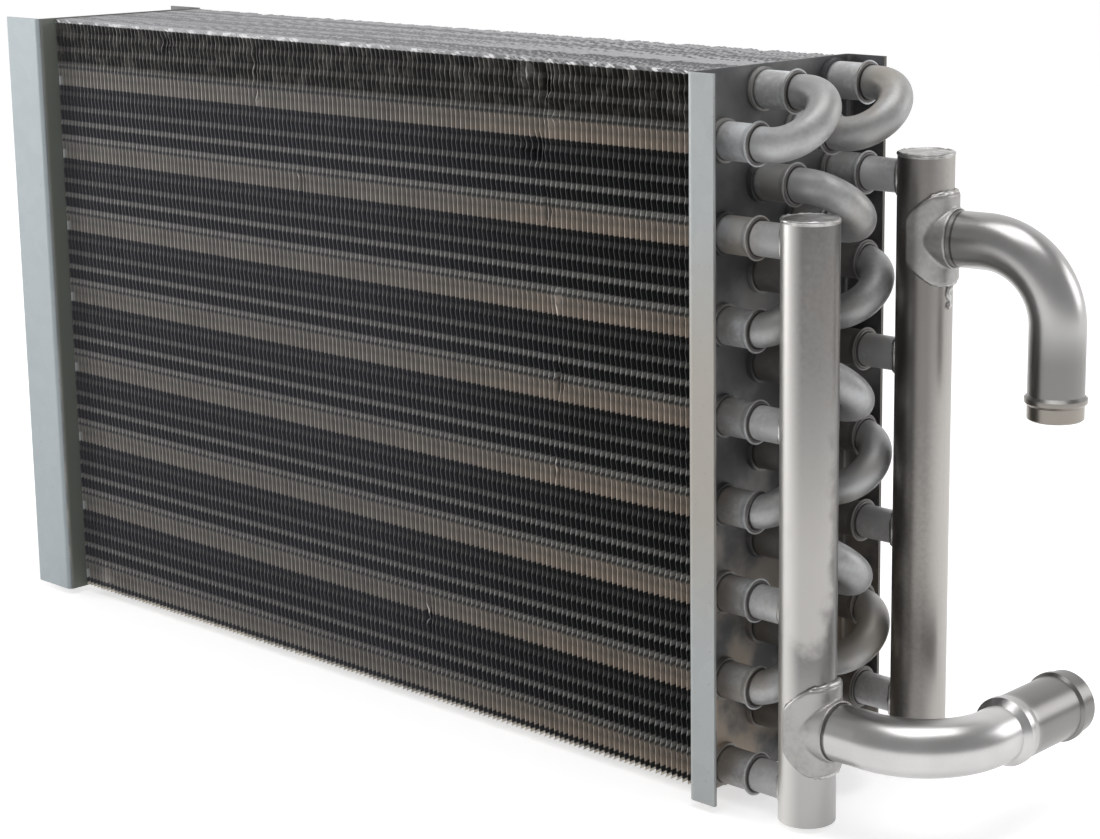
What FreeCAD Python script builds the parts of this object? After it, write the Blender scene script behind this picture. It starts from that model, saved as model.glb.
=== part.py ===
import FreeCAD, Part
import math
import os

from FreeCAD import Vector

# Heater core of a coach heater: a finned block of 32 tubes between two folded end plates, two header
# pipes at one end, and a hose spigot on each header. Millimetres, Z up.
# X runs along the tubes towards the headers, Y from the front face of the fins to the rear.

# Tube field
rows = 8
columns = 4
row_pitch = 38.1
column_pitch = 24.0
edge_margin = 10.5

# Fin block, its fins drawn thicker than the foil
core_length = 444.0
fin_pitch = 3.05
fin_thickness = 0.4
groove_floor = 0.55
fin_end_gap = 0.3

# Hairpin tubes, expanded into the fins
tube_wall = 0.6
tube_clearance = 0.2
hairpin_lead = 3.0
lip_flare = 1.4
lip_length = 3.0
mouth_reach = 20.5

# Return bends. The bends beside a header start to turn inside the flare of their tubes.
bend_od = 14.4
bend_wall = 1.0
braze_clearance = 0.15
bend_insertion = 7.0
bend_lead = 5.5
early_turn = 2.9
bend_header_gap = 0.4

# End plates
plate_overlap = 0.6
sheet = 1.6
fold_radius = 1.5
plate_front_reach = 10.5
plate_rear_reach = 1.5
header_plate_front_flange = 14.6
header_plate_rear_flange = 20.8
far_plate_front_flange = 28.0
far_plate_rear_flange = 26.0
collar_wall = 1.0
collar_height = 2.4

# Headers
header_od = 24.0
header_wall = 1.6
front_header_offset = 2.1
rear_header_setback = 0.9
header_end_margin = 2.4
cap_thickness = 1.6
cap_plug_length = 1.8
cap_plug_clearance = 0.1
top_cap_crown = 0.7
bottom_cap_crown = 2.0
stub_clearance = 0.15
stub_inside_header = 0.4

# Outlets
outlet_od = 23.6
outlet_wall = 1.6
skirt_height = 38.0
skirt_radius = 21.5
skirt_wall = 2.3
skirt_wrap = 2.0
skirt_edge_round = 1.6
neck_root_wall = 1.4
neck_tip_wall = 1.0
saddle_clearance = 0.05
port_radius = 8.6
bead_height = 1.2
bead_length = 4.4
bead_ramp = 1.3
mouth_round = 0.6

# Lower outlet, on the front header
lower_outlet_rise = 30.3
lower_outlet_reach = 66.8
lower_neck_reach = 16.5
lower_bend_radius = 35.3
stop_bead_lead = 5.6
stop_bead_length = 9.0
stop_bead_crest = 3.0
stop_bead_od = 28.8
lower_spigot_od = 27.4
lower_spigot_length = 41.5
lower_mouth_land = 6.5

# Upper outlet, on the rear header
upper_outlet_fall = 23.8
upper_outlet_reach = 61.2
upper_neck_reach = 15.2
upper_bend_radius = 32.6
upper_outlet_yaw = 8.0
upper_spigot_length = 38.0
upper_mouth_land = 6.0

# Derived sizes and places
core_depth = 2 * edge_margin + (columns - 1) * column_pitch
fin_height = rows * row_pitch
plate_height = fin_height + 2 * plate_overlap
stagger = row_pitch / 2
far_end_face = -core_length - sheet
tube_bore = bend_od / 2 + braze_clearance
tube_radius = tube_bore + tube_wall
bore_radius = tube_radius + tube_clearance
bend_radius = math.hypot(column_pitch, stagger) / 2
hairpin_radius = row_pitch / 2
header_radius = header_od / 2
header_bore = header_radius - header_wall
front_header_y = edge_margin - front_header_offset
rear_header_y = core_depth - edge_margin
stop_bead_y = front_header_y + lower_bend_radius + stop_bead_lead
lower_mouth_y = stop_bead_y + stop_bead_length + lower_spigot_length


def column_y(column):
    return edge_margin + (column - 1) * column_pitch


def row_z(column, row):
    """Tubes lie on a triangular pattern: every other column stands half a pitch lower."""
    top = plate_overlap + fin_height - (row_pitch - stagger) / 2
    return top - (column % 2) * stagger - (row - 1) * row_pitch


def beside_header(row):
    return row % 2 == 1 and row > 1


def bend_turn_x(row):
    return mouth_reach - early_turn if beside_header(row) else mouth_reach + bend_lead


def clear_header_x(offset):
    """How far out a header's axis must stand to clear the return bends of rows 3, 5 and 7."""
    apart = header_radius + bend_od / 2 + bend_header_gap
    reaches = []
    for degrees in range(181):
        along = bend_turn_x(3) + bend_radius * math.sin(math.radians(degrees))
        across = offset + column_pitch / 2 * (1 - math.cos(math.radians(degrees)))
        if across < apart:
            reaches.append(along + math.sqrt(apart ** 2 - across ** 2))
    return max(reaches)


front_header_x = clear_header_x(front_header_offset)
rear_header_x = clear_header_x(0) + rear_header_setback
header_overhang = bend_od / 2 + header_end_margin
front_header_bottom = row_z(1, rows) - header_overhang
front_header_top = row_z(1, 2) + header_overhang
rear_header_bottom = row_z(columns, rows) - header_overhang
rear_header_top = row_z(columns, 2) + header_overhang
lower_outlet_z = row_z(1, rows) + lower_outlet_rise
upper_outlet_z = row_z(columns, 2) - upper_outlet_fall

# The part's own frame stands at the middle of its footprint, on the lowest point of the front header.
lowest_point = front_header_bottom - cap_thickness - bottom_cap_crown
hairpin_end = far_end_face - hairpin_lead - hairpin_radius - tube_radius
footprint_left = min(hairpin_end, -core_length - far_plate_front_flange)
footprint_right = front_header_x + lower_outlet_reach + lower_spigot_od / 2 + bead_height
footprint_front = -plate_front_reach
upper_axis_y = rear_header_y + upper_outlet_reach * math.sin(math.radians(upper_outlet_yaw))
footprint_rear = max(upper_axis_y + outlet_od / 2 + bead_height, lower_mouth_y)
origin = Vector((footprint_left + footprint_right) / 2, (footprint_front + footprint_rear) / 2,
                lowest_point)


def revolved(profile, base, axis):
    """A solid of revolution from (distance along the axis, radius) points."""
    side = Vector(0, 0, 1).cross(axis)
    if side.Length < 0.5:
        side = Vector(1, 0, 0)
    points = [base + axis * along + side * radius for along, radius in profile]
    face = Part.Face(Part.makePolygon(points + [points[0]]))
    return face.revolve(base, axis, 360)


def ring_face(center, normal, outer, inner):
    rim = Part.Wire(Part.makeCircle(outer, center, normal))
    hole = Part.Wire(Part.makeCircle(inner, center, normal))
    return Part.Face(Part.Face(rim).cut(Part.Face(hole)).Faces[0])


def straight_tube(start, axis, length, outer, inner):
    return ring_face(start, axis, outer, inner).extrude(axis * length)


def tube_arc(start, heading, turn_center, turn_axis, angle, outer, inner):
    return ring_face(start, heading, outer, inner).revolve(turn_center, turn_axis, angle)


def joined(solids):
    result = solids[0].multiFuse(solids[1:]).removeSplitter()
    return result.Solids[0]


def export(shape, node):
    placed = shape.copy()
    placed.translate(origin * -1)
    placed.exportStep("parts/" + node + ".step")


def tube_bores(start_x, direction, length, radius):
    """A cylinder on the axis of each of the tubes."""
    axis = Vector(direction, 0, 0)
    return [Part.makeCylinder(radius, length, Vector(start_x, column_y(c), row_z(c, r)), axis)
            for c in range(1, columns + 1) for r in range(1, rows + 1)]


def fin_block():
    """The fins as thin ribs standing proud of a closed core, bored for the tubes."""
    left = -core_length + fin_end_gap
    length = core_length - 2 * fin_end_gap
    depth_relief = edge_margin - bore_radius - groove_floor
    height_relief = (row_pitch - stagger) / 2 - bore_radius - groove_floor
    core = Part.makeBox(length, core_depth - 2 * depth_relief, fin_height - 2 * height_relief,
                        Vector(left, depth_relief, plate_overlap + height_relief))
    gaps = round((length - fin_thickness) / fin_pitch)
    step = (length - fin_thickness) / gaps
    fins = [Part.makeBox(fin_thickness, core_depth, fin_height, Vector(left + i * step, 0, plate_overlap))
            for i in range(gaps + 1)]
    block = core.multiFuse(fins).removeSplitter()
    return block.cut(Part.makeCompound(tube_bores(left - 1, 1, length + 2, bore_radius))).Solids[0]


def end_plate(web_x, outward, front_flange, rear_flange):
    """One folded sheet: a pierced web with a flange turned outward along the front and the rear."""
    front = -plate_front_reach
    rear = core_depth + plate_rear_reach
    inner = web_x
    outer = web_x + outward * sheet
    front_tip = web_x + outward * front_flange
    rear_tip = web_x + outward * rear_flange
    outline = [(front_tip, front), (inner, front), (inner, rear), (rear_tip, rear),
               (rear_tip, rear - sheet), (outer, rear - sheet), (outer, front + sheet),
               (front_tip, front + sheet)]
    points = [Vector(x, y, 0) for x, y in outline]
    plate = Part.Face(Part.makePolygon(points + [points[0]])).extrude(Vector(0, 0, plate_height))
    plate = plate.makeFillet(fold_radius + sheet, upright_edges(plate, inner, (front, rear)))
    plate = plate.makeFillet(fold_radius, upright_edges(plate, outer, (front + sheet, rear - sheet)))
    reach = sheet + collar_height
    collars = tube_bores(inner, outward, reach, bore_radius + collar_wall)
    bores = tube_bores(inner - outward, outward, reach + 2, bore_radius)
    return plate.multiFuse(collars).cut(Part.makeCompound(bores)).removeSplitter().Solids[0]


def upright_edges(solid, x, depths):
    return [e for e in solid.Edges
            if abs(e.BoundBox.ZLength - plate_height) < 0.01 and abs(e.CenterOfMass.x - x) < 0.01
            and min(abs(e.CenterOfMass.y - y) for y in depths) < 0.01]


def hairpin(column, upper_row):
    """Two legs of one tube joined by a half turn at the far end, each flared to a lip at its mouth."""
    turn_x = far_end_face - hairpin_lead
    mouth = mouth_reach - turn_x
    neck = mouth - lip_length
    profile = [(0, tube_bore), (0, tube_radius), (neck, tube_radius), (mouth, tube_radius + lip_flare),
               (mouth, tube_bore + lip_flare), (neck, tube_bore)]
    legs = [revolved(profile, Vector(turn_x, column_y(column), row_z(column, row)), Vector(1, 0, 0))
            for row in (upper_row, upper_row + 1)]
    top = Vector(turn_x, column_y(column), row_z(column, upper_row))
    middle = top - Vector(0, 0, hairpin_radius)
    turn = tube_arc(top, Vector(-1, 0, 0), middle, Vector(0, -1, 0), 180, tube_radius, tube_bore)
    return joined(legs + [turn])


def return_bend(column, row, next_column):
    """A half turn that carries the water from one column's tube to the next column's."""
    outer = bend_od / 2
    inner = outer - bend_wall
    start_x = mouth_reach - bend_insertion
    length = bend_turn_x(row) - start_x
    ends = [Vector(start_x, column_y(c), row_z(c, row)) for c in (column, next_column)]
    legs = [straight_tube(end, Vector(1, 0, 0), length, outer, inner) for end in ends]
    first, second = [end + Vector(length, 0, 0) for end in ends]
    across = (second - first).normalize()
    turn = tube_arc(first, Vector(1, 0, 0), (first + second) * 0.5, Vector(1, 0, 0).cross(across), 180,
                    outer, inner)
    return joined(legs + [turn])


def header_stub(column, row, header_x, header_y):
    """A short straight tube from a flared mouth through the wall of the header."""
    outer = bend_od / 2
    start = Vector(mouth_reach - bend_insertion, column_y(column), row_z(column, row))
    widest = abs(column_y(column) - header_y) + outer
    end_x = header_x - math.sqrt(header_bore ** 2 - widest ** 2) + stub_inside_header
    return straight_tube(start, Vector(1, 0, 0), end_x - start.x, outer, outer - bend_wall)


def header(column, header_x, header_y, bottom, top, outlet_height, outlet_yaw):
    """A header pipe, drilled for four stubs on the core side and for the outlet port on the other."""
    base = Vector(header_x, header_y, bottom)
    pipe = straight_tube(base, Vector(0, 0, 1), top - bottom, header_radius, header_bore)
    holes = [Part.makeCylinder(bend_od / 2 + stub_clearance, header_radius + 1,
                               Vector(header_x, column_y(column), row_z(column, row)), Vector(-1, 0, 0))
             for row in range(2, rows + 1, 2)]
    port = Part.makeCylinder(port_radius, header_radius + 1, Vector(header_x, header_y, outlet_height),
                             outlet_direction(outlet_yaw))
    return pipe.cut(Part.makeCompound(holes + [port])).Solids[0]


def outlet_direction(yaw):
    return Vector(math.cos(math.radians(yaw)), math.sin(math.radians(yaw)), 0)


def header_cap(header_x, header_y, end_z, outward, crown):
    """A crowned cap with a plug that seats in the end of the pipe."""
    plug = header_bore - cap_plug_clearance
    rim = Vector(header_radius, 0, cap_thickness)
    crest = Vector(0, 0, cap_thickness + crown)
    dome_radius = (header_radius ** 2 + crown ** 2) / (2 * crown)
    half_width = header_radius / 2
    shoulder = Vector(half_width, 0, crest.z - dome_radius + math.sqrt(dome_radius ** 2 - half_width ** 2))
    edges = [Part.makeLine(Vector(0, 0, -cap_plug_length), Vector(plug, 0, -cap_plug_length)),
             Part.makeLine(Vector(plug, 0, -cap_plug_length), Vector(plug, 0, 0)),
             Part.makeLine(Vector(plug, 0, 0), Vector(header_radius, 0, 0)),
             Part.makeLine(Vector(header_radius, 0, 0), rim),
             Part.Arc(rim, shoulder, crest).toShape(),
             Part.makeLine(crest, Vector(0, 0, -cap_plug_length))]
    cap = Part.Face(Part.Wire(edges)).revolve(Vector(0, 0, 0), Vector(0, 0, 1), 360)
    if outward < 0:
        cap.rotate(Vector(0, 0, 0), Vector(1, 0, 0), 180)
    cap.translate(Vector(header_x, header_y, end_z))
    return cap


def header_round(center):
    return Part.makeCylinder(header_radius + saddle_clearance, 2 * skirt_height,
                             center - Vector(0, 0, skirt_height))


def skirt(center, ahead):
    """A patch wrapped on half the header, with its upper and lower edges rounded over."""
    outer = header_radius + saddle_clearance + skirt_wall
    barrel = Part.makeCylinder(outer, skirt_height, center - Vector(0, 0, skirt_height / 2))
    rims = [edge for edge in barrel.Edges if edge.isClosed() and edge.BoundBox.ZLength < skirt_wall]
    barrel = barrel.makeFillet(skirt_edge_round, rims)
    outline = Part.makeCylinder(skirt_radius, skirt_wrap + 2 * outer, center - ahead * skirt_wrap, ahead)
    return barrel.common(outline)


def saddle(header_x, header_y, height, yaw, reach):
    """The welded collar that carries an outlet: a skirt on the header and a neck round the pipe."""
    center = Vector(header_x, header_y, height)
    ahead = outlet_direction(yaw)
    hole_radius = outlet_od / 2 + saddle_clearance
    neck = Part.makeCone(hole_radius + neck_root_wall, hole_radius + neck_tip_wall, reach, center, ahead)
    pipe_hole = Part.makeCylinder(hole_radius, 2 * reach, center, ahead)
    ring = skirt(center, ahead).fuse(neck).cut(pipe_hole).cut(header_round(center))
    return max(ring.Solids, key=lambda solid: solid.Volume)


def seated_on_header(pipe, center):
    return max(pipe.cut(header_round(center)).Solids, key=lambda solid: solid.Volume)


def bead_profile(start, radius):
    """Points of a rolled bead: a short cone up, a crest and a short cone down."""
    return [(start, radius), (start + bead_ramp, radius + bead_height),
            (start + bead_length - bead_ramp, radius + bead_height), (start + bead_length, radius)]


def mouth_profile(end, outer, inner):
    """Points of an open pipe end with its outer edge eased."""
    return [(end - mouth_round, outer), (end, outer - mouth_round), (end, inner)]


def upper_outlet():
    """Leaves the rear header sideways, turns down, and ends in a beaded hose spigot."""
    outer = outlet_od / 2
    inner = outer - outlet_wall
    ahead = outlet_direction(upper_outlet_yaw)
    center = Vector(rear_header_x, rear_header_y, upper_outlet_z)
    run = upper_outlet_reach - upper_bend_radius
    corner = center + ahead * run
    level = straight_tube(center, ahead, run, outer, inner)
    turn_center = corner - Vector(0, 0, upper_bend_radius)
    turn = tube_arc(corner, ahead, turn_center, ahead.cross(Vector(0, 0, -1)), 90, outer, inner)
    below = corner + ahead * upper_bend_radius - Vector(0, 0, upper_bend_radius)
    end = upper_spigot_length
    profile = [(0, inner), (0, outer)]
    profile += bead_profile(end - upper_mouth_land - bead_length, outer)
    profile += mouth_profile(end, outer, inner)
    spigot = revolved(profile, below, Vector(0, 0, -1))
    return seated_on_header(joined([level, turn, spigot]), center)


def lower_outlet():
    """Leaves the front header sideways, turns to the rear, and swells into a beaded hose spigot."""
    outer = outlet_od / 2
    inner = outer - outlet_wall
    ahead = Vector(1, 0, 0)
    center = Vector(front_header_x, front_header_y, lower_outlet_z)
    run = lower_outlet_reach - lower_bend_radius
    corner = center + ahead * run
    level = straight_tube(center, ahead, run, outer, inner)
    turn_center = corner + Vector(0, lower_bend_radius, 0)
    turn = tube_arc(corner, ahead, turn_center, Vector(0, 0, 1), 90, outer, inner)
    start = corner + Vector(lower_bend_radius, lower_bend_radius, 0)
    big = lower_spigot_od / 2
    crest = stop_bead_lead + stop_bead_length / 2
    shoulder = stop_bead_lead + stop_bead_length
    end = shoulder + lower_spigot_length
    crest_radius = stop_bead_od / 2
    profile = [(0, inner), (0, outer), (stop_bead_lead, outer), (crest - stop_bead_crest / 2, crest_radius),
               (crest + stop_bead_crest / 2, crest_radius), (shoulder, big)]
    profile += bead_profile(end - lower_mouth_land - bead_length, big)
    profile += mouth_profile(end, big, big - outlet_wall)
    profile += [(shoulder, big - outlet_wall), (stop_bead_lead, inner)]
    spigot = revolved(profile, start, Vector(0, 1, 0))
    return seated_on_header(joined([level, turn, spigot]), center)


os.makedirs("parts", exist_ok=True)

export(fin_block(), "fin_pack")
export(end_plate(0, 1, header_plate_front_flange, header_plate_rear_flange), "header_end_plate")
export(end_plate(-core_length, -1, far_plate_front_flange, far_plate_rear_flange), "far_end_plate")

for c in range(1, columns + 1):
    for r in range(1, rows, 2):
        export(hairpin(c, r), "hairpin_tube_%d_%d" % (c, (r + 1) // 2))

for r in range(1, rows, 2):
    circuit = (r + 1) // 2
    export(return_bend(1, r, 2), "front_return_bend_%d" % circuit)
    export(return_bend(2, r + 1, 3), "middle_return_bend_%d" % circuit)
    export(return_bend(3, r, 4), "rear_return_bend_%d" % circuit)
    export(header_stub(1, r + 1, front_header_x, front_header_y), "front_header_stub_%d" % circuit)
    export(header_stub(columns, r + 1, rear_header_x, rear_header_y), "rear_header_stub_%d" % circuit)

export(header(1, front_header_x, front_header_y, front_header_bottom, front_header_top,
              lower_outlet_z, 0), "front_header")
export(header(columns, rear_header_x, rear_header_y, rear_header_bottom, rear_header_top,
              upper_outlet_z, upper_outlet_yaw), "rear_header")
export(header_cap(front_header_x, front_header_y, front_header_top, 1, top_cap_crown),
       "front_header_top_cap")
export(header_cap(front_header_x, front_header_y, front_header_bottom, -1, bottom_cap_crown),
       "front_header_bottom_cap")
export(header_cap(rear_header_x, rear_header_y, rear_header_top, 1, top_cap_crown),
       "rear_header_top_cap")
export(header_cap(rear_header_x, rear_header_y, rear_header_bottom, -1, bottom_cap_crown),
       "rear_header_bottom_cap")
export(saddle(front_header_x, front_header_y, lower_outlet_z, 0, lower_neck_reach), "lower_outlet_saddle")
export(saddle(rear_header_x, rear_header_y, upper_outlet_z, upper_outlet_yaw, upper_neck_reach),
       "upper_outlet_saddle")
export(lower_outlet(), "lower_outlet_pipe")
export(upper_outlet(), "upper_outlet_pipe")
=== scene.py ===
# %% [markdown]
# # A heater core, dressed for a picture
#
# A heater core warms the air in a vehicle: hot coolant runs through tubes, and a fan blows air between thin
# fins. Its solids come from the CAD model. Here they get their surfaces, and the things that a solid model
# leaves plain, such as the rippled foil fins and the welds, are modelled anew. All sizes are in metres.

# %% Load the CAD frame
import math
import random

import bmesh
import bpy
from mathutils import Matrix, Vector


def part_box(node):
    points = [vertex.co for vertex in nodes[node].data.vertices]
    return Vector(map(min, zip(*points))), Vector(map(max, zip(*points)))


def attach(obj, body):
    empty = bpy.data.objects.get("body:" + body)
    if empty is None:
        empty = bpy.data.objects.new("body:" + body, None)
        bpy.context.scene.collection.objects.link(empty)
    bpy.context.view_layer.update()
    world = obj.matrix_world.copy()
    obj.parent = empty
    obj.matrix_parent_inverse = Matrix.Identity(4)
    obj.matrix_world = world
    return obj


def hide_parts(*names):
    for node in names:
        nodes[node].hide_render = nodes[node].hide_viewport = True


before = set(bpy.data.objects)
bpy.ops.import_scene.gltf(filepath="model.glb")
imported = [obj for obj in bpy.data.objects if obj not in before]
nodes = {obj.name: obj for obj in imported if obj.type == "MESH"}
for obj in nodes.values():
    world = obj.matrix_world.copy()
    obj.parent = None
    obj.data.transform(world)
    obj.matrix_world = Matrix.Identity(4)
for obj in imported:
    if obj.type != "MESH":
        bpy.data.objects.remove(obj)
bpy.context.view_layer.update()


def span(node):
    """The low corner, the high corner and the centre of a CAD node's box."""
    low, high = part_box(node)
    return low, high, (low + high) / 2


# %% [markdown]
# ## The camera
#
# The camera stands to the right of the header end and a little above it, and looks slightly down. Its
# place, its three directions, its lens and its shift were fitted to a photograph of such a core. The shift
# moves the middle of the picture, as cropping a photograph does.

# %% Camera
camera_place = Vector((0.81695, -0.7864, 0.4032))
view_right = Vector((0.74757, 0.66417, -0.00467))
view_down = Vector((0.13142, -0.15481, -0.97916))
view_ahead = Vector((-0.65105, 0.73138, -0.20302))
bpy.ops.object.camera_add(location=camera_place)
camera = bpy.context.object
camera.name = "photo_camera"
view_axes = Matrix((view_right, -view_down, -view_ahead)).transposed()
camera.matrix_world = Matrix.Translation(camera_place) @ view_axes.to_4x4()
camera.data.sensor_width = 36.0
camera.data.lens = 80.28
camera.data.shift_x = -0.1161
camera.data.shift_y = -0.0743
camera.data.clip_start = 0.05
camera.data.clip_end = 20.0
scene = bpy.context.scene
scene.camera = camera
scene.view_settings.view_transform = "Standard"
print("camera", tuple(round(v, 3) for v in camera.location), "lens", round(camera.data.lens, 2))


# %% [markdown]
# ## Node maths as plain expressions
#
# A procedural finish is arithmetic on the place of each point. Wiring Math nodes by hand is slow to read,
# so a small class wraps a socket and turns each Python operator into one node.

# %% Classes for sockets and finishes
class Wire:
    """One output of a node. Sums and products of wires make further nodes."""

    def __init__(self, finish, socket):
        self.finish = finish
        self.socket = socket

    def __add__(self, other):
        return self.finish.maths("ADD", self, other)

    def __radd__(self, other):
        return self.finish.maths("ADD", other, self)

    def __sub__(self, other):
        return self.finish.maths("SUBTRACT", self, other)

    def __rsub__(self, other):
        return self.finish.maths("SUBTRACT", other, self)

    def __mul__(self, other):
        return self.finish.maths("MULTIPLY", self, other)

    def __truediv__(self, other):
        return self.finish.maths("DIVIDE", self, other)


class Finish:
    """A material on one Principled shader, whose tones depend on the place in the object."""

    mix_factor = 0
    mix_first = 6
    mix_second = 7
    mix_result = 2

    def __init__(self, name, roughness, metallic):
        self.material = bpy.data.materials.new(name)
        self.material.use_nodes = True
        self.tree = self.material.node_tree
        self.shader = self.tree.nodes["Principled BSDF"]
        self.shader.inputs["Roughness"].default_value = roughness
        self.shader.inputs["Metallic"].default_value = metallic
        self.place = self.node("ShaderNodeTexCoord").outputs["Object"]
        self.body = None

    def node(self, kind, **inputs):
        made = self.tree.nodes.new(kind)
        for key, value in inputs.items():
            self.join(value, made.inputs[key])
        return made

    def join(self, value, socket):
        if isinstance(value, Wire):
            self.tree.links.new(value.socket, socket)
        elif isinstance(value, bpy.types.NodeSocket):
            self.tree.links.new(value, socket)
        else:
            socket.default_value = value

    def maths(self, operation, first, second=0.0, clamp=False):
        made = self.tree.nodes.new("ShaderNodeMath")
        made.operation = operation
        made.use_clamp = clamp
        self.join(first, made.inputs[0])
        self.join(second, made.inputs[1])
        return Wire(self, made.outputs[0])

    def axes(self):
        split = self.node("ShaderNodeSeparateXYZ", Vector=self.place)
        return [Wire(self, split.outputs[i]) for i in range(3)]

    def heading(self, axis, degrees):
        """How far a point lies from an upright axis, along one level direction."""
        x, y, z = self.axes()
        turn = math.radians(degrees)
        return (x - axis.x) * math.cos(turn) + (y - axis.y) * math.sin(turn)

    def scaled(self, x, y, z):
        made = self.node("ShaderNodeMapping", Vector=self.place)
        made.inputs["Scale"].default_value = (x, y, z)
        return made.outputs["Vector"]

    def noise(self, scale, detail=3.0, place=None):
        made = self.node("ShaderNodeTexNoise", Vector=place or self.place, Scale=scale, Detail=detail,
                         Roughness=0.5)
        return Wire(self, made.outputs["Fac"])

    def cells(self, scale):
        """A grey level for each cell of a broken-up pattern, like the crystals of zinc."""
        pattern = self.node("ShaderNodeTexVoronoi", Vector=self.place, Scale=scale)
        levels = self.node("ShaderNodeSeparateColor", Color=pattern.outputs["Color"])
        return Wire(self, levels.outputs[0])

    def step(self, value, low, high, out_low=0.0, out_high=1.0):
        """A smooth change from out_low to out_high while the value goes from low to high."""
        made = self.node("ShaderNodeMapRange")
        made.interpolation_type = "SMOOTHSTEP"
        self.join(value, made.inputs["Value"])
        limits = {"From Min": low, "From Max": high, "To Min": out_low, "To Max": out_high}
        for key, number in limits.items():
            self.join(number, made.inputs[key])
        return Wire(self, made.outputs["Result"])

    def blend(self, factor, first, second):
        made = self.tree.nodes.new("ShaderNodeMix")
        made.data_type = "RGBA"
        self.join(factor, made.inputs[self.mix_factor])
        self.join(first if isinstance(first, Wire) else (*first, 1.0), made.inputs[self.mix_first])
        self.join(second if isinstance(second, Wire) else (*second, 1.0), made.inputs[self.mix_second])
        return Wire(self, made.outputs[self.mix_result])

    def colour(self, value):
        self.join(value if isinstance(value, Wire) else (*value, 1.0), self.shader.inputs["Base Color"])
        self.body = value

    def cover(self, mask, shade):
        """Lays another tone over the finish where the mask is up."""
        self.colour(self.blend(mask, self.body, shade))

    def rough(self, value):
        self.join(value, self.shader.inputs["Roughness"])

    def bump(self, height, distance, strength=1.0):
        made = self.node("ShaderNodeBump", Height=height, Distance=distance, Strength=strength)
        self.tree.links.new(made.outputs["Normal"], self.shader.inputs["Normal"])


# %% [markdown]
# ## Aluminium that has been welded
#
# The headers and outlets are plain aluminium pipe. New pipe is bright, but handling and the heat of the
# torch leave it satin, with cloudy grey patches drawn out along the pipe and brown tints.

# %% Aluminium finish
def aluminium(name, light, dark, warm, warmth, rough, metallic=1.0, streaks=(26, 26, 7), grain=1.0):
    """Cloudy metal. The streaks set how fine the clouds are on each axis, the grain how specked."""
    made = Finish(name, rough, metallic)
    cloud = made.noise(1.0, place=made.scaled(*streaks))
    fine = made.noise(520.0)
    stain = made.noise(24.0)
    clouded = made.blend(made.step(cloud + (fine - 0.5) * 0.25 * grain, 0.36, 0.66), dark, light)
    made.colour(made.blend(made.step(stain, 0.52, 0.74) * warmth, clouded, warm))
    made.rough(rough + (cloud - 0.5) * 0.14 + (fine - 0.5) * 0.1 * grain)
    made.bump(fine * 0.5 * grain + cloud * 0.5, 0.0003, 0.18)
    return made


# The front header's tones are darker than the rear header's, as painted shade, and the lower outlet's paler
# than the upper outlet's, as painted light.
front_header_metal = aluminium("front_header_aluminium", (0.24, 0.234, 0.228), (0.165, 0.161, 0.158),
                               (0.25, 0.215, 0.185), 0.35, rough=0.38)
header_metal = aluminium("header_aluminium", (0.33, 0.31, 0.29), (0.22, 0.21, 0.20),
                         (0.30, 0.25, 0.21), 0.3, rough=0.4)
upper_outlet_metal = aluminium("upper_outlet_aluminium", (0.54, 0.535, 0.53), (0.40, 0.395, 0.39),
                               (0.42, 0.37, 0.32), 0.35, rough=0.3, streaks=(16, 16, 16), grain=0.2)
lower_outlet_metal = aluminium("lower_outlet_aluminium", (0.70, 0.695, 0.69), (0.52, 0.515, 0.51),
                               (0.44, 0.39, 0.34), 0.3, rough=0.3, streaks=(16, 16, 16), grain=0.2)
bend_metal = aluminium("bend_aluminium", (0.56, 0.565, 0.57), (0.39, 0.39, 0.385),
                       (0.42, 0.355, 0.285), 0.65, rough=0.5, metallic=0.6, streaks=(22, 22, 22))
stub_metal = aluminium("stub_aluminium", (0.80, 0.80, 0.81), (0.54, 0.54, 0.54),
                       (0.52, 0.45, 0.37), 0.5, rough=0.48, metallic=0.25, streaks=(30, 30, 30))
tube_metal = aluminium("tube_aluminium", (0.76, 0.78, 0.80), (0.44, 0.44, 0.435),
                       (0.46, 0.38, 0.29), 0.7, rough=0.5, metallic=0.2, streaks=(40, 60, 60))
saddle_metal = aluminium("saddle_aluminium", (0.44, 0.43, 0.42), (0.31, 0.30, 0.29),
                         (0.38, 0.32, 0.26), 0.5, rough=0.42, metallic=0.85, streaks=(50, 50, 50))
weld_metal = aluminium("weld_aluminium", (0.62, 0.615, 0.61), (0.36, 0.35, 0.34),
                       (0.40, 0.32, 0.26), 0.6, rough=0.4, streaks=(140, 140, 140))
print("weld finish", len(weld_metal.tree.nodes), "nodes")

# %% [markdown]
# ## Wear, stains, dark joints, painted highlights and painted shade
#
# The finishes get what use has done to each pipe, and painted highlights, reflections and shade where light
# falls on the pipes or misses them. Masks are made of smooth steps along the height, or along a level
# direction from a pipe's middle, and each mask lays one more tone over the metal.

# %% Wear, painted highlights and painted reflections on the headers
outlet_yaw = {"front": 0.0, "rear": 8.0}


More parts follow.
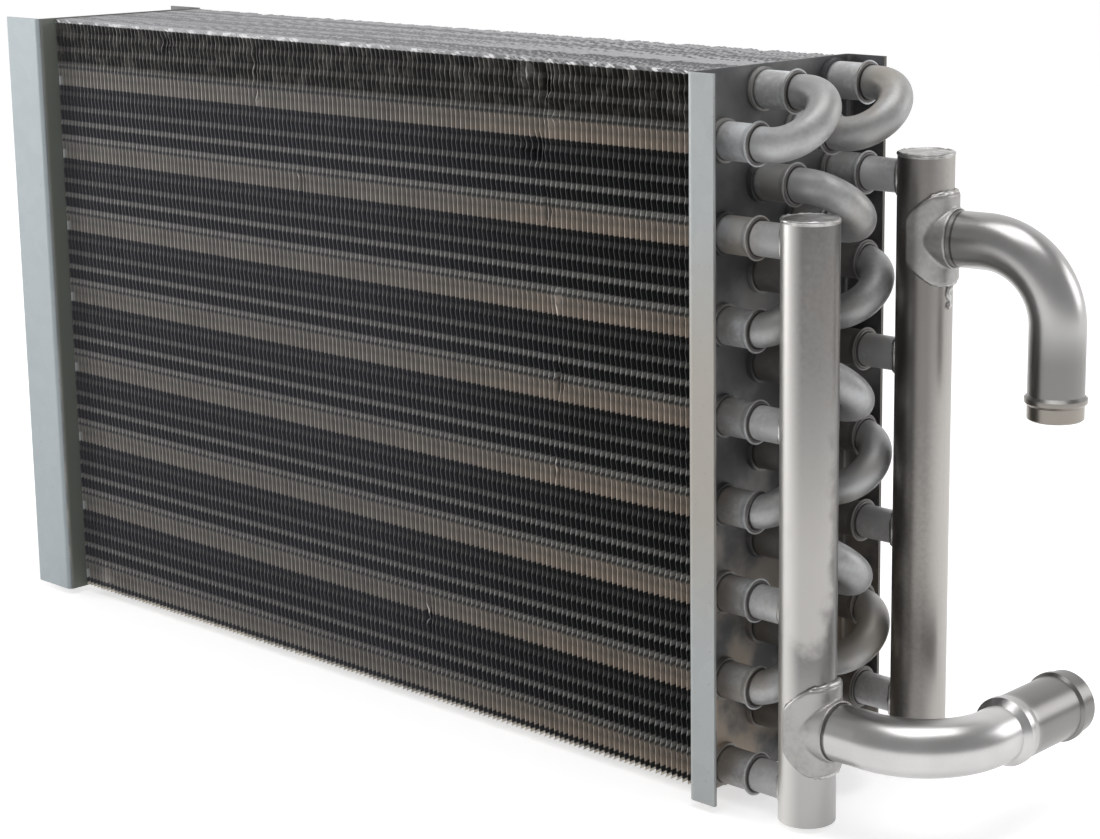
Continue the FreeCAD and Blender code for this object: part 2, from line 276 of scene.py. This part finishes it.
def paint_front_header_wear_and_light():
    """Paints a highlight down one side, a paler foot as painted floor reflection, and a worn patch in front
    that fades out upwards as painted reflection.
    """
    made = front_header_metal
    axis = span("front_header")[2]
    patch_bottom = 0.0745
    patch_top = 0.24
    patch_half_width = 0.0102
    patch_faces = -52
    highlight_side_faces = -128
    z = made.axes()[2]
    middle = (patch_bottom + patch_top) / 2
    half_height = (patch_top - patch_bottom) / 2
    across = made.heading(axis, patch_faces + 90)
    facing = made.step(made.heading(axis, patch_faces), 0.0, 0.002)
    wide = made.maths("POWER", made.maths("ABSOLUTE", across / patch_half_width), 2.5)
    tall = made.maths("POWER", made.maths("ABSOLUTE", (z - middle) / half_height), 8.0)
    ragged = made.noise(110.0)
    inside = made.step(wide + tall + (ragged - 0.5) * 1.2, 0.45, 1.15, 1.0, 0.0)
    # The worn patch fades upwards as painted reflection of the darker room above.
    strength = made.step(z, patch_top - 0.03, middle - half_height * 0.6, 0.0, 0.8)
    # Painted floor reflection makes the foot paler.
    made.cover(made.step(z, 0.085, 0.035) * 0.8, (0.46, 0.455, 0.45))
    made.cover(inside * facing * strength, (0.49, 0.475, 0.455))
    # Painted highlight down the side turned to the key lamp.
    made.cover(made.step(made.heading(axis, highlight_side_faces), 0.0052, 0.0118) * 0.9, (0.66, 0.645, 0.62))


def paint_rear_header_highlight():
    """A painted highlight on the outlet's side of the rear header, stronger towards its foot."""
    made = header_metal
    z = made.axes()[2]
    lit_side = made.heading(span("rear_header")[2], outlet_yaw["rear"])
    # Painted highlight, stronger towards the foot.
    made.cover(made.step(lit_side, 0.0065, 0.0115) * made.step(z, 0.285, 0.12, 0.32, 0.55),
               (0.56, 0.54, 0.515))


paint_front_header_wear_and_light()
paint_rear_header_highlight()
print("front header finish", len(front_header_metal.tree.nodes), "nodes")

# %% Dark grooves and shaded ends
groove_width = 0.0008


def groove(made, along, start):
    """A dark line round a pipe, where it enters another piece."""
    end = start + groove_width
    begins = made.step(along, start - 0.0002, start + 0.0002)
    return begins * made.step(along, end, end + groove_width * 0.6, 1.0, 0.0)


def shade_tubes():
    """The tubes are stained brown low down, and carry painted shade behind the first column and darkest at
    the web.
    """
    made = tube_metal
    x, y, z = made.axes()
    made.cover(made.step(z, 0.25, 0.12) * made.step(x, mouth, web + 0.006) * 0.6, (0.24, 0.19, 0.15))
    # Painted shade on the lower tubes behind the first column, and at their roots by the web.
    made.cover(made.step(y, -0.030, -0.018) * made.step(z, 0.285, 0.235) * 0.75, (0.13, 0.115, 0.10))
    made.cover(made.step(x, web + 0.0058, web + 0.0040) * 0.8, (0.05, 0.045, 0.04))


def groove_at_saddle(made, side, node):
    axis = span(side + "_header")[2]
    neck = span(node)[1].x - axis.x
    away = made.heading(axis, outlet_yaw[side])
    made.cover(groove(made, away, neck + 0.0001) * 0.8, (0.09, 0.085, 0.08))


def shade_outlets():
    """Painted shade darkens the upper outlet down its leg and the lower one towards its spigot; the upper
    spigot's end is tinted tan.
    """
    low, high, _ = span("upper_outlet_pipe")
    z = upper_outlet_metal.axes()[2]
    # Painted shade down the upper outlet's leg.
    upper_outlet_metal.cover(upper_outlet_metal.step(z, high.z - 0.034, high.z - 0.060) * 0.9,
                             (0.20, 0.195, 0.188))
    upper_outlet_metal.cover(upper_outlet_metal.step(z, low.z + 0.010, low.z + 0.007) * 0.4,
                             (0.40, 0.35, 0.29))
    high = span("lower_outlet_pipe")[1]
    y = lower_outlet_metal.axes()[1]
    # Painted shade towards the lower outlet's spigot.
    lower_outlet_metal.cover(lower_outlet_metal.step(y, high.y - 0.050, high.y - 0.038) * 0.9,
                             (0.19, 0.184, 0.178))


mouth = span("hairpin_tube_1_1")[1].x
web = span("header_end_plate")[0].x
for made in (bend_metal, stub_metal):
    made.cover(groove(made, made.axes()[0], mouth + 0.0003) * 0.8, (0.07, 0.06, 0.055))
shade_tubes()
groove_at_saddle(lower_outlet_metal, "front", "lower_outlet_saddle")
groove_at_saddle(upper_outlet_metal, "rear", "upper_outlet_saddle")
shade_outlets()
print("tube mouths at", round(mouth, 4), "web at", round(web, 4))

# %% [markdown]
# ## Galvanised sheet
#
# The end plates are folded from galvanised steel. Its zinc coat is pale, faintly blue-green, and carries a
# soft mottle of patches a few millimetres across.

# %% Galvanised finish
def galvanised(name, node, outward, dark_tone, light_tone, warmth, metallic, edge_shade):
    """Sheet with clean outer faces, while the pocket round the tubes is dark with flux, dust and painted
    shade, and one edge of the sheet carries painted shade.
    """
    low, high, _ = span(node)
    web_x = low.x if outward > 0 else high.x
    sheet = 0.0016
    made = Finish(name, 0.5, metallic)
    x, y, z = made.axes()
    soft = made.noise(7.0, place=made.scaled(1.0, 1.0, 0.7))
    speck = made.noise(420.0)
    made.colour(made.blend(made.cells(150.0) * 0.22 + soft * 0.78, dark_tone, light_tone))
    made.cover(made.step(made.maths("ABSOLUTE", z - 0.16), 0.10, 0.02) * warmth, (0.42, 0.38, 0.33))
    made.cover(made.step(speck, 0.64, 0.76) * 0.35, (0.22, 0.21, 0.19))
    between_flanges = (made.step(y, low.y + 0.0007, low.y + sheet)
                       * made.step(y, high.y - sheet, high.y - 0.0007, 1.0, 0.0))
    proud = (x - web_x) * outward
    past_web = made.step(proud, -0.0002, 0.0006)
    flux = made.noise(38.0, 4.0)
    crust = made.step(flux, 0.4, 0.6)
    # In the pocket, flux and dust tones are darkened as painted shade, most towards the top, with tan crust
    # low down.
    grime_and_shade = made.blend(made.step(flux, 0.35, 0.7), (0.15, 0.152, 0.158), (0.38, 0.375, 0.37))
    grime_and_shade = made.blend(made.step(z, 0.20, 0.27) * 0.6, grime_and_shade, (0.07, 0.071, 0.074))
    grime_and_shade = made.blend(made.step(z, 0.16, 0.02) * crust * 0.7, grime_and_shade, (0.56, 0.46, 0.36))
    collar = made.step(proud, 0.0022, 0.0027) * made.step(proud, 0.0042, 0.0047, 1.0, 0.0)
    grime_and_shade = made.blend(collar * crust * 0.7, grime_and_shade, (0.50, 0.49, 0.47))
    made.cover(between_flanges * past_web, grime_and_shade)
    # Painted shade on the faces within half a millimetre of the plate's high x: the header plate's flange
    # edges and the far plate's inner face.
    made.cover(made.step(x - high.x, -0.0005, -0.0001), edge_shade)
    made.rough(0.46 + soft * 0.14)
    made.bump(speck, 0.0003, 0.2)
    return made


header_zinc = galvanised("header_end_zinc", "header_end_plate", 1, (0.36, 0.38, 0.38), (0.46, 0.48, 0.48),
                         warmth=0.7, metallic=0.55, edge_shade=(0.14, 0.13, 0.12))
far_zinc = galvanised("far_end_zinc", "far_end_plate", -1, (0.39, 0.44, 0.46), (0.49, 0.545, 0.57),
                      warmth=0.0, metallic=0.2, edge_shade=(0.20, 0.215, 0.19))
print("galvanised", len(header_zinc.tree.nodes), "nodes")

# %% [markdown]
# ## Small tools for pieces
#
# Every new piece goes through the same steps: it is copied with a mesh of its own, joined to others,
# settled at the origin, and handed over with its finish and its body.

# %% Tools
def deselect():
    if bpy.context.object and bpy.context.object.mode != "OBJECT":
        bpy.ops.object.mode_set(mode="OBJECT")
    bpy.ops.object.select_all(action="DESELECT")


def only(piece):
    deselect()
    piece.select_set(True)
    bpy.context.view_layer.objects.active = piece


def settle(piece):
    """Applies the place, so that the object sits at the origin, unturned and unscaled."""
    only(piece)
    bpy.ops.object.transform_apply(location=True, rotation=True, scale=True)


def duplicate(piece):
    """A copy with a mesh of its own."""
    copy = piece.copy()
    copy.data = piece.data.copy()
    scene.collection.objects.link(copy)
    return copy


def join_as(name, pieces):
    deselect()
    for piece in pieces:
        piece.select_set(True)
    bpy.context.view_layer.objects.active = pieces[0]
    bpy.ops.object.join()
    bpy.context.object.name = name
    return bpy.context.object


def move_points(piece, test, value):
    """In edit mode, moves the points whose place passes the test."""
    only(piece)
    bpy.ops.object.mode_set(mode="EDIT")
    bpy.ops.mesh.select_mode(type="VERT")
    mesh = bmesh.from_edit_mesh(piece.data)
    for point in mesh.verts:
        point.select = test(point.co)
    mesh.select_flush_mode()
    bmesh.update_edit_mesh(piece.data)
    bpy.ops.transform.translate(value=value)
    bpy.ops.object.mode_set(mode="OBJECT")


def apply_modifiers(piece):
    only(piece)
    for modifier in list(piece.modifiers):
        bpy.ops.object.modifier_apply(modifier=modifier.name)


def hand_over(piece, finish):
    """Gives a piece its finish, and tells the frame which body it belongs to."""
    settle(piece)
    piece.data.materials.clear()
    piece.data.materials.append(finish.material)
    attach(piece, "root")
    return piece


# %% [markdown]
# ## Foil fins
#
# A fin is thin aluminium foil as tall and deep as the block, pressed into ripples between the tube rows so
# that the air is stirred. The fins are modelled because light falls between them, which no bump map gives.
# One fin is a grid. Its ripples are made by moving rows of points sideways, and the rest are copies.

# %% The fin's sizes
pack_low, pack_high, pack_middle = span("fin_pack")
lip_radius = 0.00935
row_one = span("hairpin_tube_1_1")[1].z - lip_radius
row_pitch = 0.0381
row_count = 8
row_steps = 20
ripple_steps = 4
step_height = row_pitch / row_steps
fin_count = 146
end_margin = 0.0002
fin_step = (pack_high.x - pack_low.x - 2 * end_margin) / (fin_count - 1)
fin_depth = pack_high.y - pack_low.y
depth_strips = 6
front_strip = 0.0035
ripple = 0.00042
foil_thickness = 0.00024
print("fin step mm", round(fin_step * 1000, 3), "first row mm", round(row_one * 1000, 2))

# %% One rippled fin
deselect()
bpy.ops.mesh.primitive_grid_add(x_subdivisions=row_steps * row_count, y_subdivisions=depth_strips, size=1,
                                rotation=(0, math.radians(90), 0))
fin = bpy.context.object
fin.name = "fin"
fin.scale = (row_pitch * row_count, fin_depth, 1)
fin.location = (0, pack_middle.y, pack_middle.z)
settle(fin)
strip = fin_depth / depth_strips
move_points(fin, lambda co: abs(co.y - pack_low.y - strip) < 0.001, (0, front_strip - strip, 0))
move_points(fin, lambda co: abs(pack_high.y - co.y - strip) < 0.001, (0, strip - front_strip, 0))


def steps_below_row(point):
    """Whole steps below the nearest tube row above, whose places differ between the front and the rear."""
    from_top = round((pack_high.z - point.z) / step_height)
    first = 15 if point.y < pack_middle.y - 0.001 else 5
    return (from_top - first) % row_steps


def on_ripple(point, remainder):
    """True between the rows, on every fourth row of points."""
    below = steps_below_row(point)
    return 4 <= below <= 18 and below % ripple_steps == remainder


for remainder, side in ((0, ripple), (ripple_steps // 2, -ripple)):
    move_points(fin, lambda co: on_ripple(co, remainder), (side, 0, 0))
print("fin", len(fin.data.vertices), "points", len(fin.data.polygons), "faces")

# %% [markdown]
# The upper and lower edges of the foil are bent over, each fin a little differently. Six fins, bent by
# different amounts, are enough variety for the whole pack. Each row says how far the top and the bottom go
# sideways, and how far the top sinks.

# %% Bent edges
edge_variants = []
for top_bend, bottom_bend, drop in ((-0.0030, -0.0003, 0.0003), (-0.0028, -0.0001, 0.0002),
                                    (-0.0033, -0.0005, 0.0004), (-0.0026, 0.0001, 0.0),
                                    (-0.0031, 0.0002, 0.0001), (-0.0029, -0.0002, 0.0007)):
    variant = duplicate(fin)
    move_points(variant, lambda co: co.z > pack_high.z - 0.0001, (top_bend, 0, -drop))
    move_points(variant, lambda co: co.z < pack_low.z + 0.0001, (bottom_bend, 0, 0))
    thickness = variant.modifiers.new("foil", "SOLIDIFY")
    thickness.thickness = foil_thickness
    thickness.offset = 0
    apply_modifiers(variant)
    edge_variants.append(variant)
print("fin variants", len(edge_variants), "faces", len(edge_variants[0].data.polygons))

# %% [markdown]
# ## Foil finish
#
# Where a tube row passes, the foil is flat and carries a tan band of painted reflection, flecked with dust.
# Between the rows each ripple has a painted highlight on the slope that faces the light, and painted shade
# on the other slope and in the gaps. The tones follow the distance below the nearest row above, in
# millimetres, and change from the left end to the right.

# %% Foil between and on the tube rows
foil = Finish("fin_foil", 0.42, 0.3)
fx, fy, fz = foil.axes()
dust = foil.noise(45.0, 4.0)
bits = foil.noise(160.0)
rightness = foil.step(fx, -0.06, 0.15)


def foil_rows():
    """Painted shade in the gaps, painted highlights on the lit slopes, and tan bands of painted reflection
    that are palest along their edges.
    """
    row_mm = row_pitch * 1000
    ripple_mm = row_mm * ripple_steps / row_steps
    band_low_end = 5.0
    band_next_start = 34.4
    halfway = 20.0
    below = foil.maths("FRACT", (row_one - fz) / row_pitch) * row_mm
    phase = foil.maths("FRACT", (below - ripple_mm) / ripple_mm)
    # Painted highlights on the ripple slopes that face the light, brightest just above the next band.
    lit = foil.step(phase, 0.02, 0.12) * foil.step(phase, 0.32, 0.46, 1.0, 0.0)
    lit = lit * foil.step(below, band_low_end, 30.0, 0.2, 1.0)
    lit = foil.maths("MAXIMUM", lit, foil.step(below, 33.2, 34.2, 0.0, 0.3))
    # Painted shade in the gaps between the fins, deeper at the right end.
    dark = foil.blend(rightness, (0.125, 0.125, 0.14), (0.042, 0.043, 0.045))
    slope = foil.blend(rightness, (0.52, 0.51, 0.50), (0.52, 0.52, 0.50))
    foil.colour(foil.blend(lit, dark, slope))
    above_rows = foil.step(fz, row_one + 0.004, row_one + 0.007)
    mud = foil.blend(foil.step(bits, 0.45, 0.7), (0.075, 0.072, 0.062), (0.30, 0.29, 0.26))
    foil.cover(above_rows * 0.6, mud)
    # Tan bands of painted reflection where the foil is flat, flecked with dust and palest along their
    # edges.
    band = foil.maths("ADD", foil.step(below, band_next_start, band_next_start + 1.0),
                      foil.step(below, band_low_end, band_low_end + 0.6, 1.0, 0.0), clamp=True)
    under_row = foil.step(below, 0.0, 3.5, 0.62, 1.0) * foil.step(below, halfway, halfway + 1.0, 1.0, 0.0)
    over_row = foil.step(below, 35.0, row_mm, 0.85, 0.62) * foil.step(below, halfway, halfway + 1.0)
    strength = foil.maths("MAXIMUM", under_row, over_row)
    tan = foil.blend(rightness, (0.50, 0.47, 0.44), (0.64, 0.555, 0.475))
    foil.cover(band * strength * (dust * 0.7 + 0.65), tan)
    return below


def foil_edges(below):
    """Bright flecks at the far end, a lower rim paled by painted floor light and dust, and a streaked top
    edge, lighter towards the left, with painted glints in front.
    """
    fleck = foil.step(fx, pack_low.x + 0.0014, pack_low.x + 0.0008)
    foil.cover(fleck * foil.step(foil.maths("ABSOLUTE", below - 3.0), 3.0, 1.6), (0.85, 0.87, 0.88))
    # The bent lower rim is pale with painted light from the floor, patchy with dust.
    floor_lit_rim = foil.step(fz, pack_low.z + 0.0018, pack_low.z + 0.0012)
    foil.cover(floor_lit_rim * foil.step(dust, 0.3, 0.6, 0.5, 1.0), (0.82, 0.76, 0.66))
    streak = foil.noise(1.0, place=foil.scaled(2.5, 260.0, 1.0))
    top = foil.blend(foil.step(streak, 0.40, 0.62), (0.13, 0.13, 0.135), (0.46, 0.46, 0.47))
    top = foil.blend(foil.step(fx, 0.12, -0.15) * 0.35, top, (0.52, 0.52, 0.54))
    # Painted glints along the front of the top edge.
    front_rim = foil.step(fy, pack_low.y + 0.0040, pack_low.y + 0.0016)
    top = foil.blend(front_rim * foil.step(bits, 0.5, 0.62), top, (0.85, 0.85, 0.86))
    foil.cover(foil.step(fz, pack_high.z - 0.0019, pack_high.z - 0.0014), top)


foil_edges(foil_rows())
foil.rough(0.38 + dust * 0.2)
print("foil finish", len(foil.tree.nodes), "nodes")

# %% The pack of fins
draw = random.Random(11)
block_count = 5
sway = 0.0002
fin_blocks = []
for block in range(block_count):
    members = []
    for index in range(block * fin_count // block_count, (block + 1) * fin_count // block_count):
        copy = duplicate(draw.choice(edge_variants))
        copy.location.x = pack_low.x + end_margin + index * fin_step + draw.uniform(-sway, sway)
        members.append(copy)
    fin_blocks.append(hand_over(join_as("fins_%d" % (block + 1), members), foil))
for pattern in edge_variants + [fin]:
    bpy.data.objects.remove(pattern)
print("fin blocks", [len(b.data.polygons) for b in fin_blocks])

# %% [markdown]
# ## Bruised fins
#
# Foil is soft, so a used core has dents. Each dent pushes the front edges of a few fins to one side. A row
# gives the dent's x and z, half its width and height, and the push.

# %% Dents
dents = ((-0.110, 0.294, 0.003, 0.014, 0.0014), (-0.110, 0.277, 0.002, 0.006, -0.0012),
         (-0.079, 0.241, 0.003, 0.010, 0.0013), (0.071, 0.303, 0.004, 0.007, -0.0024),
         (0.084, 0.300, 0.004, 0.009, 0.0022), (0.0865, 0.284, 0.003, 0.008, -0.0018),
         (0.079, 0.270, 0.012, 0.006, 0.0016), (0.083, 0.243, 0.003, 0.008, 0.0017),
         (0.088, 0.206, 0.003, 0.007, -0.0016), (0.090, 0.171, 0.003, 0.008, 0.0014),
         (0.003, 0.046, 0.002, 0.012, 0.0016), (-0.254, 0.010, 0.006, 0.008, -0.0014),
         (0.088, 0.130, 0.002, 0.012, 0.0010), (-0.18, 0.301, 0.006, 0.004, 0.0016))
dent_reaches = (1.3, 0.9, 0.5)


def in_dent(co, x, z, half_width, half_height, reach):
    """True on the front edge, inside a diamond round the dent."""
    on_edge = co.y < pack_low.y + 0.0004
    return on_edge and abs(co.x - x) / half_width + abs(co.z - z) / half_height < reach


for x, z, half_width, half_height, push in dents:
    for block in fin_blocks:
        if block.bound_box[0][0] < x < block.bound_box[6][0]:
            for reach in dent_reaches:
                move_points(block, lambda co: in_dent(co, x, z, half_width, half_height, reach),
                            (push / len(dent_reaches), 0.0001, 0))
for block in fin_blocks:
    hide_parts("fin_pack")
print("dents", len(dents))

# %% [markdown]
# ## Brazing rings
#
# The return bends and stubs are brazed into the flared mouths of the tubes. The metal that filled each
# flare stands as a soft ring, so one ring is made and copied to every mouth, turned at random.

# %% Brazing rings
ring_stretch = 1.5
ring_sink = 0.0004
ring_tilt = 0.05
deselect()
bpy.ops.mesh.primitive_torus_add(major_radius=0.00795, minor_radius=0.0009, major_segments=28,
                                 minor_segments=8, rotation=(0, math.radians(90), 0))
ring = bpy.context.object
ring.scale = (1, 1, ring_stretch)
settle(ring)
rings = []
for column in range(1, 5):
    for pair in range(1, 5):
        low, high, centre = span("hairpin_tube_%d_%d" % (column, pair))
        for height in (high.z - lip_radius, low.z + lip_radius):
            copy = duplicate(ring)
            copy.location = (high.x - ring_sink, centre.y, height)
            copy.rotation_euler = (draw.uniform(0, 6), draw.uniform(-ring_tilt, ring_tilt),
                                   draw.uniform(-ring_tilt, ring_tilt))
            rings.append(copy)
bpy.data.objects.remove(ring)
brazing = join_as("brazing_rings", rings)
bpy.ops.object.shade_smooth()
hand_over(brazing, bend_metal)
print("brazing rings", len(rings), "faces", len(brazing.data.polygons))

# %% [markdown]
# ## Weld beads
#
# A bead is a path with a round section whose thickness wavers, as a hand-held torch leaves it. Beads run
# round the caps, round the stubs where they enter the headers, and round the outlet saddles.

# %% Beads as swept paths
header_radius = 0.012
header_axes = {side: span(side + "_header")[2] for side in ("front", "rear")}


def bead(name, points, thickness, closed=True, swell=0.3):
    """Sweeps a round section along points of x, y, z and relative thickness."""
    curve = bpy.data.curves.new(name, "CURVE")
    curve.dimensions = "3D"
    curve.bevel_depth = thickness
    curve.bevel_resolution = 2
    curve.use_fill_caps = True
    path = curve.splines.new("POLY")
    path.points.add(len(points) - 1)
    for spot, place in zip(path.points, points):
        spot.co = (place[0], place[1], place[2], 1)
        spot.radius = place[3] * draw.uniform(1 - swell, 1 + swell)
    path.use_cyclic_u = closed
    made = bpy.data.objects.new(name, curve)
    scene.collection.objects.link(made)
    only(made)
    bpy.ops.object.convert(target="MESH")
    bpy.ops.object.shade_smooth()
    return bpy.context.object


def turns(count):
    return [2 * math.pi * step / count for step in range(count)]


def on_header(side, radius, turn, height, size=1):
    """A bead point at one turn and height round a header."""
    axis = header_axes[side]
    return (axis.x + radius * math.cos(turn), axis.y + radius * math.sin(turn), height, size)


# %% Beads round the caps
cap_bead_radius = 0.0114
cap_bead_lift = 0.0012
cap_bead_thickness = 0.0009
cap_bead_points = 44
cap_beads = []
for side in header_axes:
    rim_height = span(side + "_header")[1].z + cap_bead_lift
    rim = [on_header(side, cap_bead_radius, turn, rim_height) for turn in turns(cap_bead_points)]
    cap_beads.append(bead(side + "_cap_bead", rim, cap_bead_thickness, swell=0.25))
cap_welds = hand_over(join_as("cap_welds", cap_beads), weld_metal)
print("cap welds", len(cap_welds.data.polygons), "faces")

# %% Beads round the stubs
stub_bead_radius = 0.0076
stub_bead_thickness = 0.001
stub_bead_points = 36
stub_seat = header_radius + 0.0002
stub_beads = []
for side, axis in header_axes.items():
    for number in range(1, 5):
        centre = span("%s_header_stub_%d" % (side, number))[2]
        seam = []
        for turn in turns(stub_bead_points):
            y = centre.y + stub_bead_radius * math.cos(turn)
            z = centre.z + stub_bead_radius * math.sin(turn)
            x = axis.x - math.sqrt(stub_seat ** 2 - (y - axis.y) ** 2)
            seam.append((x, y, z, 1))
        stub_beads.append(bead("stub_bead", seam, stub_bead_thickness))
stub_welds = hand_over(join_as("stub_welds", stub_beads), weld_metal)
print("stub welds", len(stub_welds.data.polygons), "faces")

# %% [markdown]
# ## Outlet saddles
#
# Each saddle is a skirt that hugs the header and a neck that holds the outlet. Welding has softened every
# edge, so a copy of the solid is trimmed round by a ball, skinned afresh with small faces and smoothed. A
# bead follows the skirt's edge, and one drip hangs below the upper saddle.

# %% Saddle skins
trim_radius = 0.0215
skin_cell = 0.00048
saddle_of = {"front": "lower_outlet_saddle", "rear": "upper_outlet_saddle"}


def saddle_skin(side):
    node = saddle_of[side]
    yaw = math.radians(outlet_yaw[side])
    axis = header_axes[side]
    facing = Vector((math.cos(yaw), math.sin(yaw), 0)) * header_radius
    skin = duplicate(nodes[node])
    skin.name = node + "_skin"
    deselect()
    bpy.ops.mesh.primitive_uv_sphere_add(segments=64, ring_count=32, radius=trim_radius,
                                         location=Vector((axis.x, axis.y, span(node)[2].z)) + facing)
    ball = bpy.context.object
    trim = skin.modifiers.new("trim", "BOOLEAN")
    trim.operation = "INTERSECT"
    trim.solver = "EXACT"
    trim.object = ball
    remesh = skin.modifiers.new("skin", "REMESH")
    remesh.mode = "VOXEL"
    remesh.voxel_size = skin_cell
    soften = skin.modifiers.new("soften", "SMOOTH")
    soften.factor = 0.5
    soften.iterations = 7
    apply_modifiers(skin)
    bpy.data.objects.remove(ball)
    bpy.ops.object.shade_smooth()
    hand_over(skin, saddle_metal)
    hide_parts(node)
    print(node, "faces", len(skin.data.polygons))


# %% Beads along the saddles
saddle_bead_thickness = 0.0012
saddle_bead_points = 130
saddle_seat = header_radius + 0.0005
skirt_half_turn = math.radians(97)
drip_thickness = 0.0013
drip_points = 9
drip_pitch = 0.0014


def powered(value, power):
    """A power that keeps the sign, to fill out the corners of a circle."""
    return math.copysign(abs(value) ** power, value)


def saddle_bead(side):
    """The seam stays inside the trimming ball, and is thin at the sides, where the skirt runs out."""
    low, high, centre = span(saddle_of[side])
    half_height = (high.z - low.z) / 2
    seam = []
    for around in turns(saddle_bead_points):
        swing = skirt_half_turn * powered(math.sin(around), 0.8)
        gap_squared = trim_radius ** 2 - 2 * header_radius * saddle_seat * (1 - math.cos(swing))
        rise = min(half_height, math.sqrt(max(gap_squared, 0)))
        height = centre.z + rise * powered(math.cos(around), 0.55)
        size = 0.4 + 0.6 * abs(math.cos(around)) ** 0.7
        turn = swing + math.radians(outlet_yaw[side])
        seam.append(on_header(side, saddle_seat, turn, height, size))
    return bead(saddle_of[side] + "_bead", seam, saddle_bead_thickness)


def drip_bead():
    """A run of small lumps below the upper saddle."""
    start = span("upper_outlet_saddle")[0].z + 0.001
    drip = []
    for step in range(drip_points):
        turn = math.radians(2 + 5 * math.sin(step * 1.3))
        size = 1.2 if step % 3 else 0.7
        drip.append(on_header("rear", header_radius, turn, start - step * drip_pitch, size))
    return bead("drip_bead", drip, drip_thickness, closed=False, swell=0.4)


saddle_beads = []
for side in saddle_of:
    saddle_skin(side)
    saddle_beads.append(saddle_bead(side))
saddle_beads.append(drip_bead())
hand_over(join_as("saddle_welds", saddle_beads), weld_metal)

# %% [markdown]
# ## Finishes on the CAD nodes
#
# The tubes, bends, headers and plates are true to shape already, so they only get their finishes. The first
# word of the list that is part of a node's name decides.

# %% Dress the CAD nodes
finish_of = (("header_end_plate", header_zinc), ("far_end_plate", far_zinc), ("hairpin", tube_metal),
             ("bend", bend_metal), ("stub", stub_metal), ("saddle", saddle_metal),
             ("upper_outlet_pipe", upper_outlet_metal), ("lower_outlet_pipe", lower_outlet_metal),
             ("top_cap", weld_metal), ("front_header", front_header_metal), ("", header_metal))
for name, node in nodes.items():
    finish = next(finish for word, finish in finish_of if word in name)
    node.data.materials.clear()
    node.data.materials.append(finish.material)
print("dressed", len(nodes))

# %% [markdown]
# ## Floor, backdrop and light
#
# The photograph is a cut-out on white, so the floor and the far side of the room are white. The room
# behind the camera is grey, because polished pipe needs something darker to reflect, and soft lamps shape
# the metal from the left, from above and from behind.

# %% Floor
floor_glow = 0.58
deselect()
bpy.ops.mesh.primitive_plane_add(size=30, location=(0, 0, -0.0002))
floor = bpy.context.object
floor.name = "studio_floor"
paper = Finish("paper_floor", 0.9, 0.0)
paper.colour((0.80, 0.80, 0.80))
paper.shader.inputs["Emission Color"].default_value = (1, 1, 1, 1)
rays = paper.node("ShaderNodeLightPath")
seen = paper.maths("ADD", Wire(paper, rays.outputs["Is Camera Ray"]),
                   Wire(paper, rays.outputs["Is Glossy Ray"]), clamp=True)
paper.join(seen * floor_glow, paper.shader.inputs["Emission Strength"])
floor.data.materials.append(paper.material)
print("floor", floor.name)

# %% Backdrop
white_way = (-0.60, 0.80, 0.0)
room_grey = 0.36
world = bpy.data.worlds.new("studio")
scene.world = world
world.use_nodes = True
room = world.node_tree
sky = room.nodes["Background"]
place = room.nodes.new("ShaderNodeTexCoord")
toward = room.nodes.new("ShaderNodeVectorMath")
toward.operation = "DOT_PRODUCT"
toward.inputs[1].default_value = white_way
backdrop = room.nodes.new("ShaderNodeMapRange")
backdrop.interpolation_type = "SMOOTHSTEP"
for key, number in (("From Min", 0.1), ("From Max", 0.8), ("To Min", room_grey), ("To Max", 1.0)):
    backdrop.inputs[key].default_value = number
room.links.new(place.outputs["Generated"], toward.inputs[0])
room.links.new(toward.outputs["Value"], backdrop.inputs["Value"])
room.links.new(backdrop.outputs["Result"], sky.inputs["Strength"])
sky.inputs["Color"].default_value = (1, 1, 1, 1)
print("backdrop from", room_grey, "to white")


# %% Lamps
def softbox(name, location, aim, size, power):
    bpy.ops.object.light_add(type="AREA", location=location)
    lamp = bpy.context.object
    lamp.name = name
    lamp.data.shape = "RECTANGLE"
    lamp.data.size = size[0]
    lamp.data.size_y = size[1]
    lamp.data.energy = power
    direction = Vector(aim) - Vector(location)
    lamp.rotation_euler = direction.to_track_quat("-Z", "Y").to_euler()


softbox("key_softbox", location=(-2.8, -1.25, 0.6), aim=(0.1, 0, 0.15), size=(1.3, 1.6), power=44)
softbox("top_softbox", location=(0.35, -0.1, 1.5), aim=(0.2, 0, 0.1), size=(1.1, 0.8), power=8)
softbox("back_softbox", location=(1.2, 1.2, 0.7), aim=(0.2, 0, 0.15), size=(0.8, 0.8), power=5)
